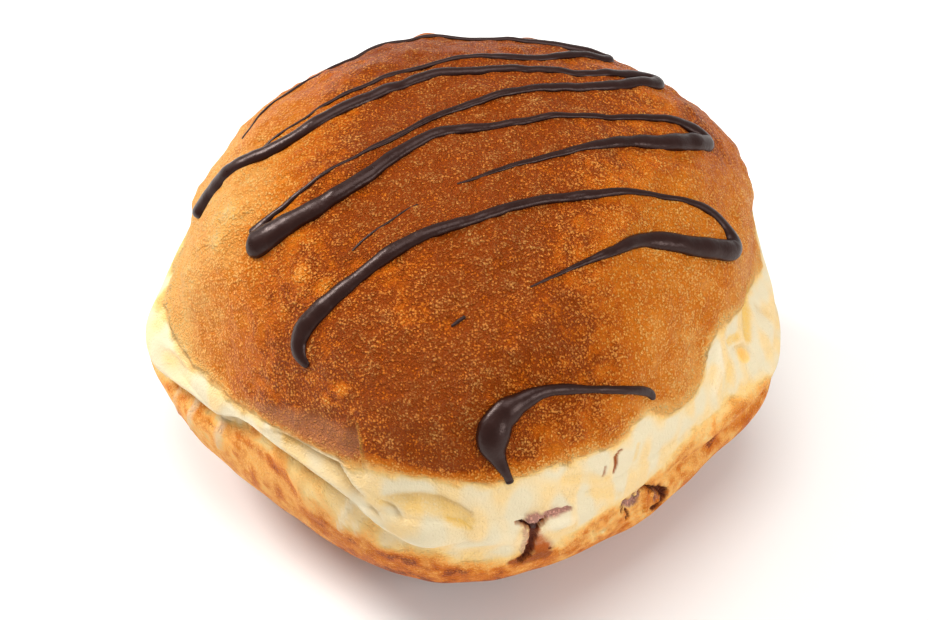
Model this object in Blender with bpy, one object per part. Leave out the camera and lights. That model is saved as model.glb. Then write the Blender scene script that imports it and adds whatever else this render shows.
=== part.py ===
"""A round filled doughnut, 86 mm across and 56 mm high, resting on a small flat spot.

The browned dome and base meet at a pale belt with a folded lip. Chocolate drizzle lies across the dome as
half-sunk beads, and the chocolate filling shows at two tears in the belt. Metres, +Z up, front towards -Y,
origin in the middle of the spot it rests on.
"""

from math import radians

import bmesh
import bpy
import numpy as np
from mathutils import Matrix, Vector

MM = 0.001

# Main sizes of the bun, in metres
WAIST = 20.0 * MM  # height where dome and base meet
DOME_HEIGHT = 35.0 * MM
BASE_DEPTH = 21.2 * MM  # deeper than the waist is high, so the base ends in a flat spot
DOME_RADIUS = 40.2 * MM
BASE_RADIUS = 39.4 * MM
DOME_SQUARENESS = 2.45  # exponents of the side profile, where 2 is a plain ellipse
BASE_SQUARENESS = 2.3
BLEND_FROM = 16 * MM  # the outline turns from the base's to the dome's over this height
BLEND_OVER = 16 * MM

# Uneven outlines: how many waves round the bun, how far out, and where the first crest is, in degrees;
# a hump has its azimuth, its half width in degrees and its height
DOME_WAVES = ((1, 3.6 * MM, 60), (2, 1.6 * MM, 66), (3, 2.0 * MM, 33))
BASE_WAVES = ((1, 4.0 * MM, 86), (2, 1.1 * MM, -3), (3, 1.9 * MM, 29), (4, 1.1 * MM, 0))
DOME_HUMPS = ((62, 24, -1.3 * MM), (215, 30, -0.3 * MM), (20, 14, -0.5 * MM), (185, 12, 1.2 * MM),
              (110, 20, 0.9 * MM))
BASE_HUMPS = ((36, 20, -5.6 * MM), (14, 10, -2.4 * MM), (155, 16, -1.0 * MM), (178, 10, 0.6 * MM),
              (355, 14, 0.6 * MM))
CENTRE = (-0.2 * MM, 1.2 * MM)  # middle of the uneven outline, moved over the origin

# Pale belt, its bulge and the folded lip under the crust
BELT_HEIGHT = 16.6 * MM
BELT_HALF = 9.0 * MM
BELT_OUT = 1.3 * MM
BELT_WAVES = ((2, 2.6 * MM, 90),)
CRUST_EDGE = 30.0 * MM
CRUST_EDGE_WAVES = ((1, 3.8 * MM, -37), (2, 2.6 * MM, 68))
CRUST_PROUD = 0.4 * MM
CRUST_STEP = 1.5 * MM  # height over which the crust's edge comes forward
LIP_EDGE = 23.0 * MM
LIP_EDGE_HUMPS = ((185, 11, -3.8 * MM), (221, 9, 4.0 * MM), (233, 9, 4.0 * MM), (245, 9, 4.2 * MM),
                  (340, 40, -4.0 * MM))
LIP_OUT = 1.3 * MM
LIP_FROM = -0.09  # the lip comes forward between these shares of the way from its edge to the crust's,
LIP_FULL = 0.21
LIP_FADES = 0.45  # and from this share on it fades out towards the crust's edge
LIP_HUMPS = ((192, 34, 1.0), (258, 26, 0.75), (352, 30, 1.1))
GROOVE_DEEP = 1.0 * MM
GROOVE_HALF = 1.6 * MM
POCKETS = ((240, 9, 30.4 * MM, 1.3 * MM, 1.0 * MM), (5, 16, 32.0 * MM, 3.6 * MM, 1.7 * MM),
           (176, 18, 28.5 * MM, 4.0 * MM, 1.2 * MM), (313, 8, 11.0 * MM, 3.0 * MM, -1.2 * MM))
FOLDS_FADE = 0.5  # the folds fade out where the side has come in to less than this share of its radius

# Rings and sectors of the bun's faces; rings follow the crust's edge and the lip's edge
SECTORS = 78
RINGS = 32
CRUST_RING = 13
LIP_RING = 18

# Drizzle strokes: degrees right and back of the dome's top, as on a polar map, and the bead's width in mm
DRIZZLE = (
    ("back_edge", ((-46, 22, 1.1), (-38, 30, 1.0), (-28, 36, 1.0), (-16, 41, 1.0), (-4, 41.5, 1.0),
                   (6, 40.5, 1.1), (13, 39.5, 1.4), (19, 37.5, 1.9), (25, 36.5, 1.8))),
    ("back", ((25, 36, 1.8), (19.5, 31.5, 1.5), (13.5, 27, 1.4), (7, 25, 1.3), (0, 24, 0.9), (-8, 21.5, 0.9),
              (-17, 18, 0.9), (-26, 14.5, 0.8), (-34, 12.5, 0.8), (-41, 11, 0.8))),
    ("second", ((-64.5, 9.5, 1.2), (-61, 11.5, 2.0), (-52.5, 11, 2.3), (-44, 10, 2.3), (-35, 9.5, 2.2),
                (-27.5, 10, 2.1), (-20, 12, 2.0), (-12, 15, 1.9), (-4, 18.5, 1.8), (4, 19, 1.6),
                (12, 20, 1.3), (20, 22, 1.5), (26, 25.5, 1.8), (31, 28, 2.3))),
    ("second_back", ((32.5, 27, 2.3), (27.5, 22.5, 2.0), (22, 18.5, 1.8), (15, 15.5, 1.6), (8, 12.5, 1.3),
                     (1, 9, 1.2), (-6, 4.5, 0.9), (-11, 2, 0.8))),
    ("third_thin", ((-16, 0, 0.8), (-25, -3.8, 0.9), (-34, -7.4, 0.9), (-40, -9.5, 1.4), (-44, -12, 2.4))),
    ("third", ((-44, -13, 2.8), (-38.5, -13.3, 3.4), (-30, -11, 3.4), (-22, -8, 3.0), (-14.5, -4, 2.8),
               (-8, 0.3, 2.5), (-3, 2.5, 2.2), (4, 4.2, 1.4), (12, 7.2, 1.1), (20, 10, 1.1), (27, 13, 1.2),
               (34, 16, 1.6), (40, 18, 2.0), (44.5, 18, 2.5))),
    ("third_back", ((44.5, 16.5, 2.7), (39.5, 13, 2.8), (33, 9, 2.5), (27.5, 7, 2.1), (20, 3.5, 1.5),
                    (12, 0, 1.1), (5, -3.5, 0.8), (-1, -6, 0.8))),
    ("fourth", ((-33.5, -45.5, 0.8), (-36, -42, 1.4), (-35, -38, 2.2), (-28, -33, 2.8), (-20, -27.2, 2.7),
                (-12.5, -22.3, 2.5), (-4, -16.5, 2.0), (4, -12.7, 1.6), (12, -10, 1.4), (20, -8, 1.5),
                (28, -5.5, 1.1), (38, -2.8, 1.0), (47, -0.9, 1.4), (54, -1.2, 1.9), (58, -4, 2.5))),
    ("fourth_back", ((58.5, -6, 2.8), (53.5, -9, 2.9), (46.5, -12, 2.8), (40, -13.5, 2.5), (34, -15.5, 2.0),
                     (28, -20, 1.4), (20, -24, 0.9), (11, -28, 0.8))),
    ("hook", ((47, -50, 0.8), (46, -48.4, 1.1), (41, -48.8, 1.2), (34, -49.6, 1.2), (27, -50, 1.2),
              (21, -50, 1.4), (16, -50.4, 1.8), (12, -52.4, 2.7), (8, -55.6, 3.9), (6.3, -60, 4.2),
              (6.6, -63, 3.6), (8, -65.8, 2.6), (10, -69, 1.3), (11.5, -72, 0.8))),
)
ROUTE_STEPS = 12  # steps from one place of a stroke to the next
BEAD_STEP = 2.9 * MM  # distance between a bead's sections
BEAD_LIFT = 0.12  # share of its radius that a bead's middle stands above the crust
BEAD_ROUND = 2
BEAD_SECTIONS = 4  # the least that a bead has
BEAD_NOSE = 0.6 * MM  # a bead narrows to its tip over this length
BEAD_TIP = 0.5
WELD = 0.01 * MM
NORMAL_STEP = 0.002  # radians between the two places on the dome that give the outward direction

# Filling: a flat core and the tongues that reach the tears, each with azimuth and height of its mouth,
# its width, its height and its turn in the bun's side
CORE_PLACE = (1.0 * MM, -3.0 * MM, 24.0 * MM)
CORE_RADII = (23.0 * MM, 21.0 * MM, 8.0 * MM)
TEARS = (
    ("front_slit", 285.5, 26.3 * MM, 7.0 * MM, 1.7 * MM, 5),
    ("front_stem", 283.5, 21.5 * MM, 1.8 * MM, 8.5 * MM, 4),
    ("side_hole", 312.5, 16.6 * MM, 9.5 * MM, 4.4 * MM, -22),
)
TONGUE_INSIDE = 8.0 * MM  # from the mouth in to the tongue's middle
TONGUE_HALF = 14.0 * MM
MOUTH_LATITUDES = np.radians(np.linspace(-60, 40, 401))  # where in the side a mouth's height is looked for
GAP = 0.3 * MM
FILLING_SHORT = 0.8 * MM  # the filling ends this far under the bun's skin
CORE_SECTORS = 28
CORE_RINGS = 14
TONGUE_SECTORS = 14
TONGUE_RINGS = 8

CRUST_COLOUR = (0.43, 0.16, 0.035)
CHOCOLATE_COLOUR = (0.028, 0.012, 0.009)
CRUST_ROUGHNESS = 0.5
CHOCOLATE_ROUGHNESS = 0.35


def clear_scene():
    for old in list(bpy.data.objects):
        bpy.data.objects.remove(old, do_unlink=True)


def new_collection(name):
    group = bpy.data.collections.new(name)
    bpy.context.scene.collection.children.link(group)
    return group


def new_material(name, colour, roughness):
    material = bpy.data.materials.new(name)
    material.use_nodes = True
    shader = material.node_tree.nodes["Principled BSDF"]
    shader.inputs["Base Color"].default_value = (*colour, 1)
    shader.inputs["Roughness"].default_value = roughness
    shader.inputs["Metallic"].default_value = 0
    material.diffuse_color = (*colour, 1)
    return material


def new_object(name, mesh, group, material=None):
    piece = bpy.data.objects.new(name, mesh)
    group.objects.link(piece)
    if material:
        mesh.materials.append(material)
    mesh.shade_smooth()
    return piece


def smooth(t):
    """0 below 0, 1 above 1, and a soft step between."""
    t = np.clip(t, 0, 1)
    return t * t * (3 - 2 * t)


def waves(angle, table):
    return sum(out * np.cos(count * (angle - radians(crest))) for count, out, crest in table)


def humps(angle, table):
    """Sum of bell curves round the bun, each given by its azimuth, its half width and its height."""
    total = 0
    for crest, half, height in table:
        off = (angle - radians(crest) + np.pi) % (2 * np.pi) - np.pi
        total = total + height * np.exp(-((off / radians(half)) ** 2))
    return total


def crust_edge(angle):
    return CRUST_EDGE + waves(angle, CRUST_EDGE_WAVES)


def lip_edge(angle):
    return LIP_EDGE + humps(angle, LIP_EDGE_HUMPS)


def latitude(height):
    """Angle up from the waist at which the side profile has this height; heights above the waist only."""
    return np.arcsin(np.clip((height - WAIST) / DOME_HEIGHT, 0, 1) ** (DOME_SQUARENESS / 2))


def folds(angle, z):
    """How far the belt's folds stand out: the crust's edge, the lip with its groove, and the pockets."""
    top, low = crust_edge(angle), lip_edge(angle)
    crust = CRUST_PROUD * smooth((z - top) / CRUST_STEP + 0.5)
    across = (z - low) / (top - low)
    forward = smooth((across - LIP_FROM) / (LIP_FULL - LIP_FROM))
    lip = LIP_OUT * forward * (1 - smooth((across - LIP_FADES) / (1 - LIP_FADES)))
    groove = GROOVE_DEEP * np.exp(-(((z - low + GROOVE_HALF) / GROOVE_HALF) ** 2))
    dents = 0
    for crest, half, height, tall, deep in POCKETS:
        dents = dents + deep * humps(angle, ((crest, half, 1),)) * np.exp(-(((z - height) / tall) ** 2))
    return crust + (lip - groove) * humps(angle, LIP_HUMPS) - dents


def bun_skin(angle, lift, inset=0.0):
    """Point on the skin at an azimuth and a latitude.

    The side profile is a superellipse, taller above the waist than below it. Its radius blends the base's
    wavy outline into the dome's, the belt adds a round bulge and the folds, and the base is cut off flat.
    """
    above = np.sin(lift) > 0
    power = np.where(above, 2 / DOME_SQUARENESS, 2 / BASE_SQUARENESS)
    share_out = np.abs(np.cos(lift)) ** power
    share_up = np.sign(np.sin(lift)) * np.abs(np.sin(lift)) ** power
    z = WAIST + np.where(above, DOME_HEIGHT - inset, BASE_DEPTH - inset) * share_up
    dome = DOME_RADIUS + waves(angle, DOME_WAVES) + humps(angle, DOME_HUMPS)
    base = BASE_RADIUS + waves(angle, BASE_WAVES) + humps(angle, BASE_HUMPS)
    blend = smooth((z - BLEND_FROM) / BLEND_OVER)
    from_belt = (z - BELT_HEIGHT - waves(angle, BELT_WAVES)) / BELT_HALF
    belt = BELT_OUT * np.sqrt(np.clip(1 - from_belt**2, 0, 1))
    out = (dome * blend + base * (1 - blend) - inset) * share_out + belt
    out = out + folds(angle, z) * smooth(share_out / FOLDS_FADE)
    x = out * np.cos(angle) - CENTRE[0]
    y = out * np.sin(angle) - CENTRE[1]
    return np.stack([x, y, np.maximum(z, inset)], -1)


def bun_mesh(name, inset=0.0):
    """A sphere of sectors and rings moved onto the skin, its rings drawn to the two edges in the belt."""
    bm = bmesh.new()
    bmesh.ops.create_uvsphere(bm, u_segments=SECTORS, v_segments=RINGS, radius=1)
    ball = np.array([vertex.co for vertex in bm.verts])
    angle = np.arctan2(ball[:, 1], ball[:, 0])
    ring = np.arccos(np.clip(ball[:, 2], -1, 1)) / np.pi * RINGS
    top, low = latitude(crust_edge(angle)), latitude(lip_edge(angle))
    dome = np.pi / 2 - (np.pi / 2 - top) * ring / CRUST_RING
    belt = top - (top - low) * (ring - CRUST_RING) / (LIP_RING - CRUST_RING)
    base = low - (low + np.pi / 2) * (ring - LIP_RING) / (RINGS - LIP_RING)
    lift = np.where(ring < CRUST_RING, dome, np.where(ring < LIP_RING, belt, base))
    for vertex, place in zip(bm.verts, bun_skin(angle, lift, inset)):
        vertex.co = Vector(place)
    mesh = bpy.data.meshes.new(name)
    bm.to_mesh(mesh)
    bm.free()
    return mesh


def on_dome(right, back):
    """Place on the skin and the outward direction there, from a polar map's two angles in degrees."""
    angle = np.arctan2(back, right)
    lift = np.radians(90 - np.hypot(right, back))
    here = bun_skin(angle, lift)
    along = bun_skin(angle, lift - NORMAL_STEP) - here
    round_it = np.cross([0, 0, 1], [np.cos(angle), np.sin(angle), 0])
    out = np.cross(round_it, along)
    return here, out / np.linalg.norm(out)


def through(rows, steps):
    """Catmull-Rom curve through the rows, with this many steps from one to the next."""
    rows = np.array(rows, float)
    ends = np.vstack([2 * rows[0] - rows[1], rows, 2 * rows[-1] - rows[-2]])
    t = np.linspace(0, 1, steps, endpoint=False)[:, None]
    parts = []
    for p0, p1, p2, p3 in zip(ends, ends[1:], ends[2:], ends[3:]):
        bend = 2 * p0 - 5 * p1 + 4 * p2 - p3 + t * (3 * p1 - 3 * p2 + p3 - p0)
        parts.append(p1 + 0.5 * t * (p2 - p0 + t * bend))
    return np.vstack([*parts, rows[-1:]])


def bead(name, stroke, group):
    """A tube along one stroke, half sunk in the crust, as thick as the stroke is wide there."""
    route = through(stroke, ROUTE_STEPS)
    places = []
    for right, back, wide in route:
        here, out = on_dome(right, back)
        places.append(np.append(here + out * wide * MM / 2 * BEAD_LIFT, wide * MM / 2))
    places = np.array(places)
    run = np.append(0, np.cumsum(np.linalg.norm(np.diff(places[:, :3], axis=0), axis=1)))
    stops = np.linspace(0, run[-1], max(BEAD_SECTIONS, round(run[-1] / BEAD_STEP) + 1))
    stops = np.sort(np.append(stops, [BEAD_NOSE, run[-1] - BEAD_NOSE]))
    x, y, z, radius = (np.interp(stops, run, column) for column in places.T)
    radius[[0, -1]] *= BEAD_TIP
    curve = bpy.data.curves.new(name, "CURVE")
    curve.dimensions = "3D"
    curve.bevel_depth = 1.0
    curve.bevel_resolution = BEAD_ROUND
    curve.use_fill_caps = True
    line = curve.splines.new("POLY")
    line.points.add(len(stops) - 1)
    line.points.foreach_set("co", np.stack([x, y, z, np.ones_like(x)], -1).ravel())
    line.points.foreach_set("radius", radius)
    guide = bpy.data.objects.new(name, curve)
    group.objects.link(guide)
    bpy.context.view_layer.update()
    mesh = bpy.data.meshes.new_from_object(guide.evaluated_get(bpy.context.evaluated_depsgraph_get()))
    bm = bmesh.new()
    bm.from_mesh(mesh)
    bmesh.ops.remove_doubles(bm, verts=bm.verts, dist=WELD)
    bm.to_mesh(mesh)
    bm.free()
    tube = bpy.data.objects.new(name + "_bead", mesh)
    group.objects.link(tube)
    tube.matrix_world = guide.matrix_world
    bpy.data.objects.remove(guide, do_unlink=True)
    return tube


def ellipsoid(name, radii, sectors, rings, turn, place, group):
    bm = bmesh.new()
    bmesh.ops.create_uvsphere(bm, u_segments=sectors, v_segments=rings, radius=1)
    stretch = Matrix.Diagonal((*radii, 1))
    bm.transform(Matrix.Translation(place) @ turn @ stretch)
    mesh = bpy.data.meshes.new(name)
    bm.to_mesh(mesh)
    bm.free()
    return new_object(name, mesh, group)


def core(name, group, grow=0.0):
    radii = [radius + grow for radius in CORE_RADII]
    return ellipsoid(name, radii, CORE_SECTORS, CORE_RINGS, Matrix(), Vector(CORE_PLACE), group)


def tongue(name, tear, group, grow=0.0):
    """Flat ellipsoid from the core out through one tear, aimed at the tear's middle."""
    _, azimuth, height, wide, tall, tilt = tear
    angle = radians(azimuth)
    side = bun_skin(np.full_like(MOUTH_LATITUDES, angle), MOUTH_LATITUDES)
    mouth = Vector(side[np.argmin(np.abs(side[:, 2] - height))])
    aim = (mouth - Vector(CORE_PLACE)).normalized()
    narrowing = (1 - (TONGUE_INSIDE / TONGUE_HALF) ** 2) ** 0.5
    radii = (wide / 2 / narrowing + grow, tall / 2 / narrowing + grow, TONGUE_HALF + grow)
    turn = aim.to_track_quat("Z", "Y").to_matrix().to_4x4() @ Matrix.Rotation(radians(tilt), 4, "Z")
    return ellipsoid(name, radii, TONGUE_SECTORS, TONGUE_RINGS, turn, mouth - aim * TONGUE_INSIDE, group)


def boolean(piece, operation, other):
    """Boolean with another object or with all objects of a collection."""
    cut = piece.modifiers.new(operation.lower(), "BOOLEAN")
    cut.operation = operation
    cut.solver = "EXACT"
    if isinstance(other, bpy.types.Collection):
        cut.operand_type = "COLLECTION"
        cut.collection = other
    else:
        cut.object = other


def apply_modifiers(piece):
    bpy.context.view_layer.update()
    mesh = bpy.data.meshes.new_from_object(piece.evaluated_get(bpy.context.evaluated_depsgraph_get()))
    piece.modifiers.clear()
    piece.data = mesh


def remove_group(group):
    for piece in list(group.objects):
        bpy.data.objects.remove(piece, do_unlink=True)
    bpy.data.collections.remove(group)


def hide_cutters(group):
    for piece in group.objects:
        piece.hide_render = True
        piece.display_type = "WIRE"


def make_dough(parts, cutters):
    """The bun with its drizzle fused on, hollow for the filling and open at the tears."""
    crust = new_material("crust", CRUST_COLOUR, CRUST_ROUGHNESS)
    dough = new_object("doughnut", bun_mesh("doughnut"), parts, crust)
    beads = new_collection("drizzle")
    for name, stroke in DRIZZLE:
        bead(name, stroke, beads)
    boolean(dough, "UNION", beads)
    apply_modifiers(dough)
    remove_group(beads)
    core("core_hollow", cutters, GAP)
    for tear in TEARS:
        tongue(tear[0] + "_hollow", tear, cutters, GAP)
    boolean(dough, "DIFFERENCE", cutters)


def make_filling(parts, guides):
    """Core and tongues in one, cut off just under the bun's skin."""
    filling = core("filling", parts)
    filling.data.materials.append(new_material("chocolate", CHOCOLATE_COLOUR, CHOCOLATE_ROUGHNESS))
    tongues = new_collection("tongues")
    for tear in TEARS:
        tongue(tear[0] + "_tongue", tear, tongues)
    boolean(filling, "UNION", tongues)
    apply_modifiers(filling)
    remove_group(tongues)
    skin = new_object("inner_skin", bun_mesh("inner_skin", FILLING_SHORT), guides)
    boolean(filling, "INTERSECT", skin)


def main():
    clear_scene()
    parts = new_collection("chocolate_filled_doughnut")
    cutters = new_collection("cutters")
    guides = new_collection("guides")
    make_dough(parts, cutters)
    make_filling(parts, guides)
    hide_cutters(cutters)
    hide_cutters(guides)
    bpy.context.view_layer.update()


main()
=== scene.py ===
"""Looks of the chocolate filled doughnut: crust, belt and tears, drizzle, filling, light and camera."""

from math import radians

import bpy
import numpy as np
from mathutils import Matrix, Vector
from mathutils.kdtree import KDTree


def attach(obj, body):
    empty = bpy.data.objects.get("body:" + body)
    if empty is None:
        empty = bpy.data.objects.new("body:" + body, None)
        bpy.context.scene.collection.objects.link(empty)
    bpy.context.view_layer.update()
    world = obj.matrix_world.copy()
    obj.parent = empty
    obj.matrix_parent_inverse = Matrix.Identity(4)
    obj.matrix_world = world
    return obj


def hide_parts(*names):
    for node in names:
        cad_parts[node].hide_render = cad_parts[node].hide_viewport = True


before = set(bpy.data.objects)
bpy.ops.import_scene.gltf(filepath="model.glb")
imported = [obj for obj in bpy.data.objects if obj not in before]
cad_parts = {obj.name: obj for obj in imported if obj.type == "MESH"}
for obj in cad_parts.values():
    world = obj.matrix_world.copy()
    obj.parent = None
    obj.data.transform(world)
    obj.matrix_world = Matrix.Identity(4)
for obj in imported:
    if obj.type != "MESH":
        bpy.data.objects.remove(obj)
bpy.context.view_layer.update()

MM = 0.001

# The bun's main form, the same values as its solid has
WAIST = 20.0 * MM
DOME_HEIGHT = 35.0 * MM
BASE_DEPTH = 21.2 * MM
DOME_RADIUS = 40.2 * MM
BASE_RADIUS = 39.4 * MM
DOME_SQUARENESS = 2.45
BASE_SQUARENESS = 2.3
BLEND_FROM = 16 * MM
BLEND_OVER = 16 * MM
DOME_WAVES = ((1, 3.6 * MM, 60), (2, 1.6 * MM, 66), (3, 2.0 * MM, 33))
BASE_WAVES = ((1, 4.0 * MM, 86), (2, 1.1 * MM, -3), (3, 1.9 * MM, 29), (4, 1.1 * MM, 0))
DOME_HUMPS = ((62, 24, -1.3 * MM), (215, 30, -0.3 * MM), (20, 14, -0.5 * MM), (185, 12, 1.2 * MM),
              (110, 20, 0.9 * MM))
BASE_HUMPS = ((36, 20, -5.6 * MM), (14, 10, -2.4 * MM), (155, 16, -1.0 * MM), (178, 10, 0.6 * MM),
              (355, 14, 0.6 * MM))
CENTRE = (-0.2 * MM, 1.2 * MM)
BELT_HEIGHT = 16.6 * MM
BELT_HALF = 9.0 * MM
BELT_OUT = 1.3 * MM
BELT_WAVES = ((2, 2.6 * MM, 90),)
CRUST_EDGE = 30.0 * MM
CRUST_EDGE_WAVES = ((1, 3.8 * MM, -37), (2, 2.6 * MM, 68))
BROWN_EDGE_HUMPS = ((200, 24, -1.3 * MM), (292, 14, 0.8 * MM), (311, 7, 1.6 * MM), (325, 6, -1.0 * MM),
                    (341, 10, 3.3 * MM), (9, 9, -2.2 * MM))
CRUST_PROUD = 0.4 * MM
CRUST_STEP = 0.9 * MM
LIP_EDGE = 23.0 * MM
LIP_EDGE_HUMPS = ((185, 11, -3.8 * MM), (221, 9, 4.0 * MM), (233, 9, 4.0 * MM), (245, 9, 4.2 * MM),
                  (340, 40, -4.0 * MM))
LIP_OUT = 1.3 * MM
LIP_FROM = -0.09
LIP_FULL = 0.21
LIP_FADES = 0.45
LIP_HUMPS = ((192, 34, 1.0), (258, 26, 0.75), (352, 30, 1.1))
GROOVE_DEEP = 1.0 * MM
GROOVE_HALF = 1.6 * MM
POCKETS = ((240, 9, 30.4 * MM, 1.3 * MM, 1.0 * MM), (5, 16, 32.0 * MM, 3.6 * MM, 1.7 * MM),
           (176, 18, 28.5 * MM, 4.0 * MM, 1.2 * MM), (313, 8, 11.0 * MM, 3.0 * MM, -1.2 * MM))
FOLDS_FADE = 0.5
CORE_PLACE = np.array((1.0, -3.0, 24.0)) * MM
CORE_RADII = np.array((23.0, 21.0, 8.0)) * MM

# Faces of the dough: sectors crowd towards the tears, rings follow the crust's edge and the lip's edge
SECTORS = 520
CROWD_AT = 297
CROWD_HALF = 26
CROWD = 1.7
DOME_RINGS = 70
BELT_RINGS = 36
UNDER_RINGS = 70
FOOT_RINGS = 15
FOOT_LATITUDE = -50  # where the base's rings change from fine to coarse, in degrees
FOOT_FLAT = 0.2 * MM  # height up to which the foot stays flat, and over which the skin's relief then comes in
FOOT_FADES = 3 * MM

# Unevenness of the dough: wavelength, height and seed; the first table also gives how much of it the belt has
RIPPLE_WAVES = 36
DOUGH_RIPPLES = ((16 * MM, 0.22 * MM, 10, 0.7), (6.5 * MM, 0.1 * MM, 11, 0.5),
                 (2.8 * MM, 0.075 * MM, 12, 0.1))
EDGE_RIPPLES = ((7 * MM, 0.28 * MM, 3), (2.2 * MM, 0.14 * MM, 4))
CRUMB_RIPPLES = ((1.1 * MM, 0.1 * MM, 51),)
RAGGED_RIPPLES = ((1.1 * MM, 0.16, 41),)
EDGE_SOFT = 0.7 * MM  # height over which the crust's brown comes in

# Pimples on the crust, on a polar map: degrees right and back of the top, radius and height
PIMPLES = ((-26, -51, 1 * MM, 0.45 * MM), (-31, -53, 0.9 * MM, 0.4 * MM), (-24, -55, 0.6 * MM, 0.25 * MM),
           (-7, 45, 2.6 * MM, 0.8 * MM), (-33, -25, 1.8 * MM, 0.3 * MM), (-27, -28, 1.5 * MM, 0.3 * MM),
           (-47, -3, 2 * MM, 0.25 * MM), (-53, -7, 1.6 * MM, 0.25 * MM), (-40, -32, 1.2 * MM, 0.25 * MM))
BLISTERS = 420
BLISTER_SEED = 5
BLISTER_LOWEST = 0.18  # sine of the lowest blister's latitude
BLISTER_RADIUS = (0.45 * MM, 0.95 * MM)
BLISTER_HEIGHT = (0.052 * MM, 0.169 * MM)
BLISTER_ROUND = 1.6  # how fast a blister falls off from its middle
BLISTER_PALE = 0.9  # how much paler a blister is for each mm of its height

# Masks painted by the features of the belt: painted shade in creases, dents and below ledges, painted
# highlights on ridges and edges, and the torn crumb, chocolate stains with their reddish halo, and ticks
PAINTS = ("crease_shade_and_edge_light", "hollow", "pale", "torn", "stain", "rust", "tick")

# Lines in the belt are measured on the belt unrolled flat
BELT_SPAN = 38.0  # mm of belt for each radian round the bun
STEP_WIDE = 0.45  # mm over which a ledge drops

# Ledges: a line of azimuth in degrees, height in mm and how far the dough falls back below it, in mm. Then
# how far it stands out above, how far both reach, how much painted shade it lays below itself and how much
# painted highlight it lays along its upper edge.
# A line runs to the right round the bun; where it runs down, its right side is the one that stands out.
LEDGES = (
    ("lip", ((181, 16, 0.1), (184, 17.3, 0.5), (188, 19.2, 0.9), (192.5, 20.6, 1), (198, 22.1, 1),
     (203, 22.6, 1), (208, 23.6, 1), (212, 25.2, 1), (215.5, 26.8, 1.1), (219.5, 27.8, 1.2),
     (224, 28.5, 1.2), (230, 28.3, 1.2), (236, 28, 1.1), (242, 28.2, 1), (246, 28.2, 1), (249, 27.6, 1),
     (251, 27, 1), (253, 26.2, 0.9), (255, 25.2, 0.8), (258, 24.4, 0.6), (262, 23.8, 0.4), (266, 24.4, 0.3),
     (271, 25.2, 0.2), (276, 25.5, 0)), 0.25, 1.5, 0.75, 0.8),
    ("upper_lip", ((222, 29, 0.1), (229, 30.8, 0.5), (235, 31.6, 0.8), (240.5, 32.1, 0.9), (245, 32.4, 0.9),
     (247, 31.4, 0.9), (248.5, 30.5, 0.8), (251, 29.7, 0.6), (252.5, 29.2, 0.2)), 0.15, 1.3, 0.8, 0.7),
    ("crust_step", ((246.6, 40.2, 0), (248, 38.5, 0.3), (249.3, 36.9, 0.45), (250, 35.1, 0.45),
     (250.6, 33.3, 0.4), (251.4, 31.8, 0.3), (251.5, 30.2, 0.1)), 0.2, 1.8, 0, 0.5),
    ("second_fold", ((251.8, 29.2, 0.1), (253.4, 28.3, 0.35), (254.7, 27.5, 0.35), (256.3, 26.2, 0.1)),
     0.12, 0.8, 0.2, 0.7),
    ("third_fold", ((252.7, 30, 0.1), (255.6, 29.8, 0.4), (257.6, 29.4, 0.45), (258.9, 28.4, 0.4),
     (259.9, 26.8, 0.1)), 0.1, 0.9, 0.5, 0.4),
    ("arch", ((253.2, 30.2, 0), (255.5, 30.7, 0.25), (258.3, 31.4, 0.45), (262, 32, 0.5), (266, 31.9, 0.5),
     (269.5, 31, 0.4), (271.7, 29.9, 0.35), (273.6, 27.8, 0)), 0.05, 1.9, 0.5, 0),
    ("left_fold", ((182, 22.4, 0.05), (186, 23.1, 0.3), (190, 24, 0.35), (194.5, 24.6, 0.3), (198, 24, 0.1)),
     0.1, 1.5, 0.35, 0.3),
    ("right_fold", ((341.5, 29.8, 0), (344, 29.6, 0.3), (347.5, 28.2, 0.4), (348, 26.6, 0.3), (348, 25, 0)),
     0.1, 1, 0.35, 0.3),
    ("right_upper_fold", ((357, 29.6, 0.1), (358, 28.9, 0.35), (358.6, 26.7, 0.35), (0.5, 24.5, 0)),
     0.1, 1.2, 0.3, 0.2),
    ("back_left", ((132, 26, 0), (142, 23.5, 0.8), (152, 22.5, 1), (165, 21.5, 0.8), (176, 19.6, 0)),
     0.3, 2, 0.6, 0.5),
    ("back", ((40, 22.5, 0), (60, 24.5, 0.8), (80, 23.5, 1), (95, 25, 0.9), (108, 23.6, 0.8),
     (120, 25.4, 0)), 0.25, 2.2, 0.6, 0.5),
)
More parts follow.
